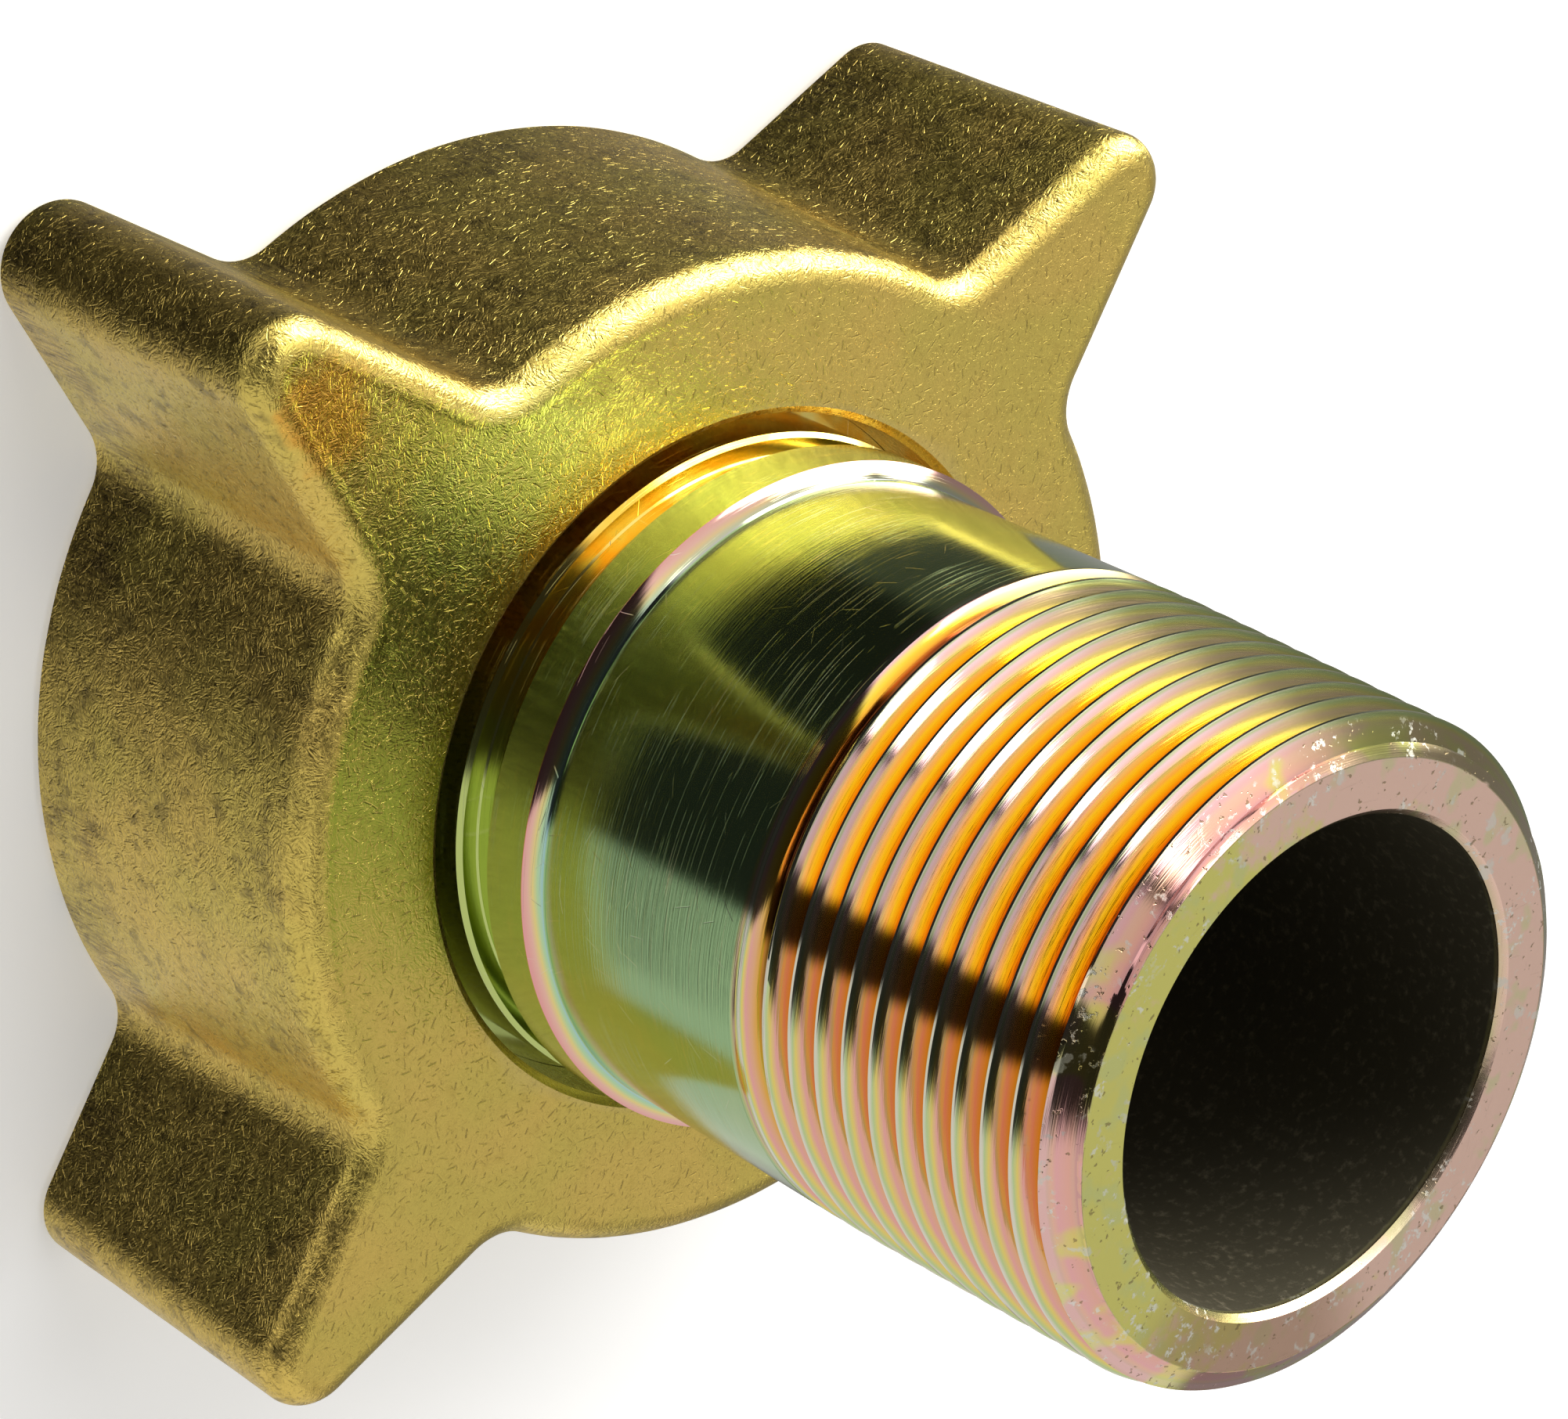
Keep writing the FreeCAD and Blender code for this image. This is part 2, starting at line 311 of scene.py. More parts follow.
    def strokes(self, where, per_mm, fine, seed):
        """Dense short strokes that change direction from cell to cell, about half on average."""
        local, lean, chance = self.cells(where, per_mm, seed)
        along = Number(self, self.vector("DOT_PRODUCT", local, lean, "Value"))
        shorter = self.scaled(lean, self.joined(along * 0.78, along * 0.78, along * 0.78))
        squeezed = self.vector("SUBTRACT", local, shorter)
        apart = self.vector("ADD", squeezed, self.joined(chance * 40.0, chance * 17.0, seed))
        return self.noise(apart, fine, 1.0, 0.5)

    def patch(self, where, middle, reach, ragged):
        """One inside a ragged round patch on the face, fading to nothing at its edge."""
        x, y, _ = self.parts(self.vector("SUBTRACT", where, (*middle, 0.0)))
        away = ((x / reach[0]) * (x / reach[0]) + (y / reach[1]) * (y / reach[1])) ** 0.5
        return (away + ragged * (self.noise(where, 0.45, 3.0, 0.6) - 0.5)).step(1.1, 0.5)


def material(name):
    """A new material and its node tree."""
    made = bpy.data.materials.new(name)
    return made, Tree(made)


# Colours of the forged brass
GOLDEN_BRASS = (0.88, 0.64, 0.16)
PALE_BRASS = (0.82, 0.64, 0.15)
# Painted shade for the nicks and the hollows of the strokes
STAINED_BRASS = (0.60, 0.42, 0.09)
CAVITY_SHADE_BRASS = (0.27, 0.19, 0.05)
GRIMY_BRASS = (0.24, 0.18, 0.06)
TRIMMED_BRASS = (0.18, 0.12, 0.05)
CUT_BRASS = (0.85, 0.68, 0.30)
# Band of the nut's side where the forging's flash was trimmed off, and depth of the forging's fine relief, in
# millimetres
TRIM_LOW = 0.8
TRIM_HIGH = 5.6
FORGING_RELIEF = 0.05
# Patches on the front face, the yellow-green one a painted reflection of the plated nipple and the orange one
# a tinge of the brass: middle and reach in millimetres, raggedness, strength and colour
FACE_TINGES_AND_REFLECTION = [
    ((-4.0, -30.0), (9.0, 6.0), 1.2, 0.35, (0.78, 0.76, 0.24)),
    ((0.7, -42.8), (3.4, 3.8), 1.4, 0.8, (0.95, 0.46, 0.07)),
]


def forged_brass():
    """Bright tumbled forging: soft waves, strokes and nicks, polished corners, a darker trimmed band, painted
    shade in the nicks and stroke hollows and a painted reflection of the nipple on the front face.
    """
    made, tree = material("forged_brass")
    where = tree.place()
    _, _, z = tree.parts(where)
    polish = tree.attribute("polish")
    inside = tree.attribute("machined")
    outside = 1 - inside
    front = z.step(NUT_LENGTH - 0.7, NUT_LENGTH - 0.25) * outside
    waves = tree.noise(where, 0.32, 3.0, 0.55)
    grain = tree.noise(where, 2.6, 4.0, 0.65)
    strokes = tree.strokes(where, 0.9, 6.0, 5.0) + tree.strokes(where, 1.3, 9.0, 31.0) - 1.0
    nicks = tree.nicks(where, 0.9, 0.44, 0.07, 0.3, 3.0)
    nicks = nicks.math("MAXIMUM", 0.8 * tree.nicks(where, 1.8, 0.2, 0.055, 0.4, 11.0))
    ragged = 5.0 * (tree.noise(where, 0.22, 3.0, 0.6) - 0.5)
    trim = (z + ragged).band(TRIM_LOW, TRIM_HIGH, 1.6) * outside
    trimmed = tree.noise(tree.scaled(where, (5.0, 5.0, 0.35)), 1.0, 4.0, 0.7)
    tint = tree.noise(where, 0.11, 2.0, 0.5)
    color = tree.mix(tint.step(0.38, 0.62), GOLDEN_BRASS, PALE_BRASS)
    # The yellow-green patch is a painted reflection of the plated nipple, the orange one a tinge of the brass
    for middle, reach, raggedness, strength, patch_color in FACE_TINGES_AND_REFLECTION:
        color = tree.mix(tree.patch(where, middle, reach, raggedness) * front * strength, color, patch_color)
    stain = tree.noise(where, 0.9, 3.0, 0.6)
    color = tree.mix(stain.step(0.5, 0.85) * 0.4, color, STAINED_BRASS)
    # Painted shade: the brass darker in the nicks and in the hollows of the strokes
    cavity_shade = nicks * 0.3 + strokes.step(0.0, 0.5) * (0.75 - 0.5 * front)
    color = tree.mix(cavity_shade.clamp(), color, CAVITY_SHADE_BRASS)
    grimy = tree.noise(where, 0.5, 4.0, 0.65).step(0.52, 0.7) * (1 - front) * outside
    color = tree.mix(grimy * 0.65, color, GRIMY_BRASS)
    soiled = tree.noise(where, 0.16, 2.0, 0.5).step(0.42, 0.62)
    color = tree.mix(trim * trimmed.step(0.35, 0.7) * (0.2 + 0.65 * soiled), color, TRIMMED_BRASS)
    color = tree.mix(inside * 0.6, color, CUT_BRASS)
    rough = 0.18 + 0.08 * grain.step(0.35, 0.7) + 0.05 * waves + 0.02 * polish + 0.05 * (1 - front)
    turned = tree.noise(tree.joined(0.0, 0.0, z), 9.0, 2.0, 0.6)
    marked = strokes * (0.76 - 0.41 * front + 0.42 * polish) - nicks * (0.55 - 0.2 * front)
    height = (0.25 + 0.3 * polish) * grain + 0.9 * waves + marked * outside + 0.15 * trim * trimmed
    height = height * (1 - 0.7 * inside) + 0.25 * turned * inside
    tree.surface(
        Base_Color=color,
        Metallic=1.0,
        Roughness=rough.clamp(),
        Normal=tree.bump(height, FORGING_RELIEF),
    )
    return made


# Colours of the plating across a thread's flank, from its bottom to its crest, on the nipple's golden side
# and on its rosy side. The darkest colours at the bottom are painted shade in the thread's roots.
GOLDEN_FLANK = [
    (0.0, (0.22, 0.06, 0.02)),
    (0.08, (0.60, 0.18, 0.03)),
    (0.2, (0.92, 0.42, 0.04)),
    (0.42, (0.95, 0.66, 0.06)),
    (0.6, (0.95, 0.72, 0.18)),
    (0.74, (0.93, 0.54, 0.46)),
    (0.87, (0.90, 0.62, 0.64)),
    (0.95, (0.56, 0.62, 0.34)),
    (1.0, (0.80, 0.80, 0.62)),
]
ROSY_FLANK = [
    (0.0, (0.16, 0.10, 0.03)),
    (0.1, (0.62, 0.52, 0.12)),
    (0.24, (0.88, 0.48, 0.10)),
    (0.44, (0.90, 0.50, 0.28)),
    (0.64, (0.92, 0.46, 0.42)),
    (0.8, (0.92, 0.74, 0.20)),
    (0.92, (0.58, 0.72, 0.36)),
    (1.0, (0.84, 0.80, 0.66)),
]
# Colours of the plating's film across the bevel between collar and barrel
BEVEL_FILM = [
    (0.0, (0.92, 0.44, 0.42)),
    (0.3, (0.94, 0.56, 0.46)),
    (0.55, (0.92, 0.76, 0.30)),
    (0.75, (0.56, 0.78, 0.44)),
    (1.0, (0.44, 0.70, 0.66)),
]
# Its other colours
OLIVE_FILM = (0.60, 0.58, 0.24)
GREEN_FILM = (0.39, 0.60, 0.30)
SHADED_FILM = (0.30, 0.36, 0.16)
PALE_FILM = (0.72, 0.70, 0.40)
ORANGE_FILM = (0.95, 0.58, 0.08)
YELLOW_FILM = (0.90, 0.72, 0.20)
LIME_FILM = (0.58, 0.68, 0.22)
SHADED_BEVEL_FILM = (0.42, 0.27, 0.22)
CHAMFER_ROSE = (0.93, 0.50, 0.50)
CHAMFER_GOLD = (0.84, 0.76, 0.26)
SHADED_THREAD = (0.15, 0.18, 0.06)
FACE_YELLOW = (0.82, 0.78, 0.22)
FACE_ROSE = (0.96, 0.66, 0.54)
FACE_GREEN = (0.66, 0.74, 0.34)
FACE_SHADE_BROWN = (0.40, 0.24, 0.14)
SCRATCHED_FILM = (0.80, 0.80, 0.66)
SMEARED_ZINC = (0.76, 0.78, 0.72)
CHIPPED_ZINC = (0.86, 0.88, 0.82)
PITTED_STEEL = (0.30, 0.22, 0.10)
SHADED_BORE_STEEL = (0.09, 0.08, 0.05)
SHADED_WORN_BORE_STEEL = (0.24, 0.21, 0.14)
# Sides of the nipple on which the thread is golden, the barrel greener and the end face rosy, and the sides
# on which the plain film and the thread are painted darker, as painted shade
GOLD_SIDE = Vector((math.cos(math.radians(-98)), math.sin(math.radians(-98))))
GREEN_SIDE = Vector((math.cos(math.radians(-80)), math.sin(math.radians(-80))))
ROSY_SIDE = Vector((-0.73, 0.68))
SHADED_SIDE = Vector((-0.87, -0.5))
SHADED_THREAD_SIDE = Vector((-1.0, 0.0))
# Depth of the turned steel's fine relief, in millimetres
TURNING_RELIEF = 0.012


def plated_steel():
    """Turned steel under a glossy yellow iridescent plating, with painted shade on one side of the plain
    plating, the bevel, the end face and the thread, in the thread's roots and in the bore.
    """
    made, tree = material("plated_steel")
    where = tree.place()
    x, y, z = tree.parts(where)
    thread = tree.attribute("thread")
    crest = tree.attribute("crest")
    bore = tree.attribute("bore")
    end = tree.attribute("end")
    rings = tree.noise(tree.joined(0.0, 0.0, z), 7.0, 3.0, 0.7)
    round_it = (x * x + y * y) ** 0.5
    drift = tree.noise(where, 0.07, 2.0, 0.5)
    streaks = tree.noise(tree.scaled(where, (0.25, 0.25, 5.0)), 1.0, 3.0, 0.6)
    worn = tree.noise(where, 1.6, 4.0, 0.65)

    def toward(side):
        """How much a place lies on a side of the nipple, from -1 to 1."""
        return (x * side.x + y * side.y) / round_it

    greenward = toward(GREEN_SIDE) + 2.0 * (drift - 0.5)
    plain = tree.mix(greenward.step(-0.3, 0.6), OLIVE_FILM, GREEN_FILM)
    shadeward = toward(SHADED_SIDE)
    # Painted shade: the plain plating darker on one side
    plain = tree.mix(shadeward.step(0.2, 0.9) * 0.7, plain, SHADED_FILM)
    plain = tree.mix(streaks.step(0.55, 0.8) * 0.4, plain, PALE_FILM)
    golden = tree.mix(tree.noise(where, 0.3, 2.0, 0.5).step(0.4, 0.6), ORANGE_FILM, YELLOW_FILM)
    golden = tree.mix(shadeward.step(0.6, -0.1), golden, LIME_FILM)
    plain = tree.mix(z.step(GROOVE_TOP, GROOVE_TOP - 0.1), plain, golden)
    bevel = z.band(COLLAR_TOP - 0.05, BARREL_BASE, 0.08)
    across = (z - COLLAR_TOP) / (BARREL_BASE - COLLAR_TOP) + 0.8 * (drift - 0.5)
    # Painted shade: the bevel's film browner and darker on the same side as the darker plain plating
    film = tree.mix(shadeward.step(0.3, 0.8) * 0.6, tree.ramp(across, BEVEL_FILM), SHADED_BEVEL_FILM)
    plain = tree.mix(bevel, plain, film)
    around = y.math("ARCTAN2", x)
    lean = z + 1.5 * tree.noise(where, 0.05, 1.0, 0.5)
    scratches = tree.noise(tree.joined(around * 1.6, 0.0, lean * 26.0), 1.0, 1.0, 0.5).step(0.66, 0.72)
    scratches = scratches * tree.noise(where, 0.14, 2.0, 0.5).step(0.40, 0.52)
    hairlines = tree.nicks(where, 0.42, 0.95, 0.035, 0.5, 17.0)
    scratches = scratches.math("MAXIMUM", hairlines) * (1 - thread)
    plain = tree.mix(scratches * 0.35, plain, SCRATCHED_FILM)
    depth = (crest + 0.12 * (streaks - 0.5) + 0.10 * (drift - 0.5)).clamp()
    rosy = tree.ramp(depth, ROSY_FLANK)
    threads = tree.mix(toward(GOLD_SIDE).step(0.7, 0.92), rosy, tree.ramp(depth, GOLDEN_FLANK))
    rim = z.step(NIPPLE_TOP - END_CHAMFER - 0.4, NIPPLE_TOP - END_CHAMFER + 0.1)
    chamfer = tree.mix(tree.noise(where, 0.25, 2.0, 0.5).step(0.5, 0.62), CHAMFER_ROSE, CHAMFER_GOLD)
    threads = tree.mix(rim * 0.75, threads, chamfer)
    # Painted shade: the thread darker, and rougher, on one side
    thread_shade = toward(SHADED_THREAD_SIDE).step(0.42, 0.82)
    threads = tree.mix(thread_shade * 0.8, threads, SHADED_THREAD)
    color = tree.mix(thread, plain, threads)
    mottled = 2.8 * tree.noise(where, 0.16, 2.0, 0.5) + 1.8 * tree.noise(where, 0.7, 3.0, 0.6) - 2.3
    rosyward = toward(ROSY_SIDE) + mottled
    face = tree.mix(rosyward.step(-0.65, 0.0), FACE_YELLOW, FACE_ROSE)
    face = tree.mix(tree.noise(where, 0.42, 2.0, 0.5).step(0.52, 0.66) * 0.5, face, FACE_GREEN)
    # Painted shade: the end face browner and darker on the side opposite the darker plain plating
    face = tree.mix(shadeward.step(-0.8, -0.98) * 0.6, face, FACE_SHADE_BROWN)
    color = tree.mix(end, color, face)
    smears = tree.noise(where, 0.5, 4.0, 0.6).step(0.62, 0.67) * (end + rim).clamp()
    color = tree.mix(smears * 0.6, color, SMEARED_ZINC)
    chips = worn.step(0.56, 0.64) * tree.noise(where, 0.3, 2.0, 0.5).step(0.5, 0.6) * rim
    color = tree.mix(chips * 0.75, color, CHIPPED_ZINC)
    pits = tree.noise(where, 2.2, 2.0, 0.5).step(0.66, 0.72) * (end + rim).clamp()
    color = tree.mix(pits * 0.7, color, PITTED_STEEL)
    # Painted shade: the gas bore dark, with lighter worn patches
    color = tree.mix(bore, color, tree.mix(worn.step(0.5, 0.8), SHADED_BORE_STEEL, SHADED_WORN_BORE_STEEL))
    brushed = (1 - thread) * (1 - bevel)
    rough = 0.05 + 0.04 * rings + 0.03 * streaks + 0.04 * brushed + 0.16 * end + 0.42 * bore
    rough = rough + 0.15 * thread_shade * thread + 0.2 * chips + 0.15 * smears
    height = 0.6 * rings + 0.4 * streaks + end * worn - 0.3 * scratches - 0.4 * chips - pits
    tree.surface(
        Base_Color=color,
        Metallic=1.0 - bore * 0.4,
        Roughness=rough.clamp(),
        Normal=tree.bump(height, TURNING_RELIEF),
    )
    return made


# Colours of the rubber, and depth of its grain in millimetres
BLACK_RUBBER = (0.018, 0.018, 0.019)
DUSTY_RUBBER = (0.055, 0.053, 0.05)
RUBBER_GRAIN = 0.03


def seal_rubber():
    """Matt black rubber with a fine grain and a little dust."""
    made, tree = material("seal_rubber")
    where = tree.place()
    grain = tree.noise(where, 3.0, 4.0, 0.6)
    dust = tree.noise(where, 0.4, 3.0, 0.6)
    color = tree.mix(dust.step(0.5, 0.75), BLACK_RUBBER, DUSTY_RUBBER)
    tree.surface(
        Base_Color=color,
        Roughness=(0.5 + 0.3 * grain).clamp(),
        Normal=tree.bump(grain, RUBBER_GRAIN),
    )
    return made


# Points of a mesh that are nearer than this are one point, in millimetres
WELD_GAP = 0.0004


def finished_piece(name, mesh_data, finish, sharp_from):
    """A piece in the scene: its mesh and finish, smooth but for edges sharper than an angle in degrees."""
    made = bpy.data.objects.new(name, mesh_data)
    bpy.context.scene.collection.objects.link(made)
    mesh_data.materials.append(finish)
    mesh_data.shade_smooth()
    mesh_data.set_sharp_from_angle(angle=math.radians(sharp_from))
    return made


def lofted(name, rings, marks, helix=None):
    """A closed mesh through rings of equally many points, in millimetres.

    marks gives each ring's attribute values. helix gives a thread's first ring, the ring after its last one
    and how many rings make one turn: where these rings close, each turn goes on into the next one.
    """
    shell = bmesh.new()
    layers = {key: shell.verts.layers.float.new(key) for key in marks[0]}
    rows = []
    for ring, mark in zip(rings, marks):
        row = []
        for index, point in enumerate(ring):
            vertex = shell.verts.new(Vector(point) * MM)
            for key, layer in layers.items():
                value = mark[key]
                vertex[layer] = value[index] if isinstance(value, list) else value
            row.append(vertex)
        rows.append(row)
    for index, row in enumerate(rows):
        closing = index
        if helix and helix[0] <= index < helix[1]:
            closing = min(max(index + helix[2], helix[0]), helix[1] - 1)
        row.append(rows[closing][0])
    for low, high in zip(rows, rows[1:] + rows[:1]):
        for corners in zip(low, low[1:], high[1:], high):
            corners = list(dict.fromkeys(corners))
            if len(corners) > 2:
                shell.faces.new(corners)
    bmesh.ops.remove_doubles(shell, verts=shell.verts, dist=WELD_GAP * MM)
    bmesh.ops.dissolve_degenerate(shell, edges=shell.edges, dist=WELD_GAP / 2 * MM)
    bmesh.ops.recalc_face_normals(shell, faces=shell.faces)
    made = bpy.data.meshes.new(name)
    shell.to_mesh(made)
    shell.free()
    return made


def spread(start, end, count):
    """Evenly spaced numbers from start up to, but without, end."""
    return [start + (end - start) * step / count for step in range(count)]


def ring_of(angles, radius, height):
    """A level circle of points, one at each angle."""
    return [turned_point(radius, angle, height) for angle in angles]


def turned_point(radius, angle, height):
    """A point at a distance from the axis, an angle round it and a height."""
    return Vector((radius * math.cos(angle), radius * math.sin(angle), height))


# How many points each stretch of the nut's outline has, from the tip of a wing to the middle between two
TIP_POINTS = 14
FLANK_POINTS = 18
FILLET_POINTS = 12
BODY_POINTS = 26


def wing_outline(height, inset):
    """Outline of the nut across the axis at a height, set in by inset, wings and root fillets included."""
    draft = height * WING_DRAFT
    body = BODY_MOUTH_RADIUS + (BODY_FRONT_RADIUS - BODY_MOUTH_RADIUS) * height / NUT_LENGTH - inset
    tip = WING_TIP_RADIUS - draft - inset
    centre = WING_REACH - WING_TIP_RADIUS
    fillet = WING_ROOT_FILLET + inset
    flank = WING_FLANK_ANGLE
    out = Vector((math.sin(flank), math.cos(flank)))
    back = Vector((-math.cos(flank), math.sin(flank)))
    tip_end = Vector((centre, 0.0)) + out * tip
    start = tip_end + out * fillet
    reach = start.dot(back)
    run = -reach - math.sqrt(reach * reach - start.length_squared + (body + fillet) ** 2)
    hub = start + back * run
    flank_end = hub - out * fillet
    fillet_end = hub * (body / (body + fillet))
    points = []
    for angle in spread(0.0, math.pi / 2 - flank, TIP_POINTS):
        points.append(Vector((centre + tip * math.cos(angle), tip * math.sin(angle))))
    for share in spread(0.0, 1.0, FLANK_POINTS):
        points.append(tip_end.lerp(flank_end, share))
    first = math.atan2(flank_end.y - hub.y, flank_end.x - hub.x)
    last = math.atan2(fillet_end.y - hub.y, fillet_end.x - hub.x)
    if last > first:
        last -= TURN
    for angle in spread(first, last, FILLET_POINTS):
        points.append(hub + fillet * Vector((math.cos(angle), math.sin(angle))))
    between = math.pi / WING_COUNT
    for angle in spread(math.atan2(fillet_end.y, fillet_end.x), between, BODY_POINTS):
        points.append(body * Vector((math.cos(angle), math.sin(angle))))
    mirror = [Vector((point.x, -point.y)) for point in reversed(points[1:])]
    sector = mirror + points + [Vector((body * math.cos(between), body * math.sin(between)))]
    outline = []
    for wing in range(WING_COUNT):
        turn = Matrix.Rotation(TURN * wing / WING_COUNT, 2)
        outline.extend(turn @ point for point in sector)
    return outline


def forged_dent(point, depth):
    """How deep the forging is dented at a point, always inwards, so that the nut keeps its measured size."""
    slow = noise.noise(point * 0.16)
    quick = noise.noise(point * 0.55 + Vector((7.0, 3.0, 1.0)))
    return depth * (0.5 + 0.5 * slow) + 0.35 * depth * (0.5 + 0.5 * quick)


SIDE_RINGS = 42
FRONT_ROUND_RINGS = 12


def nut_shell_rings():
    """Rings of the nut's outside, from the mouth face to the edge of its bore."""
    rings = []
    marks = []

    def add(height, inset, polish):
        ring = []
        for point in wing_outline(height, inset):
            solid = Vector((point.x, point.y, height))
            inwards = Vector((point.x, point.y, 0.0)).normalized()
            ring.append(solid - inwards * forged_dent(solid, DENT_DEPTH))
        rings.append(ring)
        marks.append({"polish": polish, "machined": 0.0})

    add(0.0, MOUTH_BEVEL, 0.3)
    add(MOUTH_BEVEL, 0.0, 0.4)
    side_top = NUT_LENGTH - FRONT_ROUND
    for height in spread(MOUTH_BEVEL + 0.4, side_top, SIDE_RINGS):
        near_front = max(0.0, 1 - (side_top - height) / 3.0)
        add(height, 0.0, near_front * 0.5)
    for step in range(FRONT_ROUND_RINGS + 1):
        angle = math.pi / 2 * step / FRONT_ROUND_RINGS
        height = side_top + FRONT_ROUND * math.sin(angle)
        add(height, FRONT_ROUND * (1 - math.cos(angle)), 0.5 + 0.5 * math.sin(2 * angle))
    for run, sink in ((0.12, 0.05), (0.3, 0.5), (0.48, 0.95), (0.6, 1.0)):
        add(NUT_LENGTH - FACE_SINK * sink, FRONT_ROUND + run, 0.4)
    return rings, marks


def coupling_nut(finish):
    """The nut's shell with its thread: rings on the outside, turned rings and a true helix inside."""
    rings, marks = nut_shell_rings()
    outer = rings[-1]
    angles = [math.atan2(point.y, point.x) for point in outer]
    inner_radius = NUT_BORE_RADIUS + NUT_BORE_CHAMFER
    for share in (0.1, 0.2, 0.4, 0.6, 0.8, 0.93):
        ring = []
        for point, angle in zip(outer, angles):
            radius = math.hypot(point.x, point.y)
            radius += (inner_radius - radius) * share
            spot = turned_point(radius, angle, 0.0)
            dent = FACE_SINK + FACE_DENT_DEPTH * noise.noise(spot * 0.2) * min(1.0, share * 3)
            ring.append(spot + Vector((0.0, 0.0, NUT_LENGTH - dent)))
        rings.append(ring)
        marks.append({"polish": 0.3, "machined": 0.0})

    def add_circle(radius, height, machined=1.0):
        rings.append(ring_of(angles, radius, height))
        marks.append({"polish": 0.0, "machined": machined})

    add_circle(inner_radius, NUT_LENGTH - FACE_SINK, 0.5)
    for height in (NUT_LENGTH - NUT_BORE_CHAMFER, SHOULDER_BASE + 2.5, SHOULDER_BASE):
        add_circle(NUT_BORE_RADIUS, height)
    add_circle((NUT_BORE_RADIUS + RELIEF_RADIUS) / 2, SHOULDER_BASE)
    for height in (SHOULDER_BASE, (SHOULDER_BASE + RELIEF_BASE) / 2, RELIEF_BASE):
        add_circle(RELIEF_RADIUS, height)

    flank = (MOUTH_ROOT_RADIUS - MOUTH_CREST_RADIUS) * math.tan(MOUTH_FLANK_ANGLE)
    root_width = MOUTH_PITCH - MOUTH_CREST_WIDTH - 2 * flank
    flank_radius = (MOUTH_CREST_RADIUS + MOUTH_ROOT_RADIUS) / 2
    profile = [
        (0.0, MOUTH_CREST_RADIUS),
        (MOUTH_CREST_WIDTH, MOUTH_CREST_RADIUS),
        (MOUTH_CREST_WIDTH + flank / 2, flank_radius),
        (MOUTH_CREST_WIDTH + flank, MOUTH_ROOT_RADIUS),
        (MOUTH_CREST_WIDTH + flank + root_width, MOUTH_ROOT_RADIUS),
        (MOUTH_PITCH - flank / 2, flank_radius),
    ]
    nodes = []
    turns = math.ceil(RELIEF_BASE / MOUTH_PITCH) + 1
    for turn in range(-1, turns):
        nodes.extend((turn * MOUTH_PITCH + run, radius) for run, radius in profile)
    nodes.sort()
    helix = []
    for angle in angles:
        shift = MOUTH_PITCH * ((angle - angles[0]) % TURN) / TURN
        column = [(run + shift, radius) for run, radius in nodes]
        helix.append(clipped_column(column, 0.0, RELIEF_BASE))
    first = len(rings)
    for row in range(len(nodes) - 1, -1, -1):
        ring = []
        for column, angle in zip(helix, angles):
            height, radius = column[row]
            mouth_chamfer = RELIEF_RADIUS - height
            ring.append(turned_point(max(radius, mouth_chamfer), angle, height))
        rings.append(ring)
        marks.append({"polish": 0.0, "machined": 1.0})
    mesh_data = lofted("coupling_nut_forging", rings, marks, (first, len(rings), -len(profile)))
    return finished_piece("coupling_nut_forging", mesh_data, finish, 38)


def clipped_column(column, low, high):
    """Heights and radii of a thread's column, held between two heights at the radius that it has there."""
    def radius_at(height):
        for (start, first), (end, second) in zip(column, column[1:]):
            if start <= height <= end:
                share = (height - start) / (end - start) if end > start else 0.0
                return first + (second - first) * share
        return column[0][1] if height < column[0][0] else column[-1][1]

    low_radius = radius_at(low)
    high_radius = radius_at(high)
    held = []
    for height, radius in column:
        if height < low:
            held.append((low, low_radius))
        elif height > high:
            held.append((high, high_radius))
        else:
            held.append((height, radius))
    return held


def pipe_root_radius(height):
    """Radius at the bottom of the pipe thread. The last turns run out towards the barrel."""
    cone = BARREL_RADIUS - (height - PIPE_TAPER_BASE) * PIPE_SLOPE - PIPE_DEPTH
    left = (PIPE_FULL_DEPTH_AT - height) / (PIPE_FULL_DEPTH_AT - THREAD_BASE)
    if left > 0:
        cone += (BARREL_RADIUS - cone) * min(1.0, left) ** 1.5
    return cone


def pipe_end_radius(height):
    """Radius that the barrel and the end chamfer leave to the thread."""
    chamfer_base = NIPPLE_TOP - END_CHAMFER
    if height <= chamfer_base:
        return BARREL_RADIUS
    share = (height - chamfer_base) / END_CHAMFER
    start = PIPE_END_RADIUS + END_CHAMFER * PIPE_SLOPE
    return start + (END_FACE_RADIUS - start) * share


def pipe_thread_columns(angles):
    """For each angle, heights, radii and crest shares of the male thread, and how many make one turn."""
    flank_run = PIPE_DEPTH * math.tan(PIPE_FLANK_ANGLE)
    root_flat = (PIPE_PITCH - 2 * flank_run) / 2
    shares = (0.0, 0.18, 0.36, 0.54, 0.7, 0.84, 0.95, 1.0)
    tooth = []
    for share in shares:
        tooth.append((root_flat / 2 + flank_run * share, share))
    for share in reversed(shares):
        tooth.append((PIPE_PITCH - root_flat / 2 - flank_run * share, share))
    turns = math.ceil((NIPPLE_TOP - THREAD_BASE) / PIPE_PITCH) + 2
    columns = []
    for angle in angles:
        shift = PIPE_PITCH * (angle % TURN) / TURN
        column = []
        for turn in range(-1, turns):
            base = THREAD_BASE + (turn - 1) * PIPE_PITCH + shift
            for run, share in tooth:
                height = base + run
                root = pipe_root_radius(height)
                crest = BARREL_RADIUS - (height - PIPE_TAPER_BASE) * PIPE_SLOPE
                radius = min(root + (crest - root) * share, pipe_end_radius(height))
                column.append((height, radius, share))
        columns.append(column)
    return columns, len(tooth)


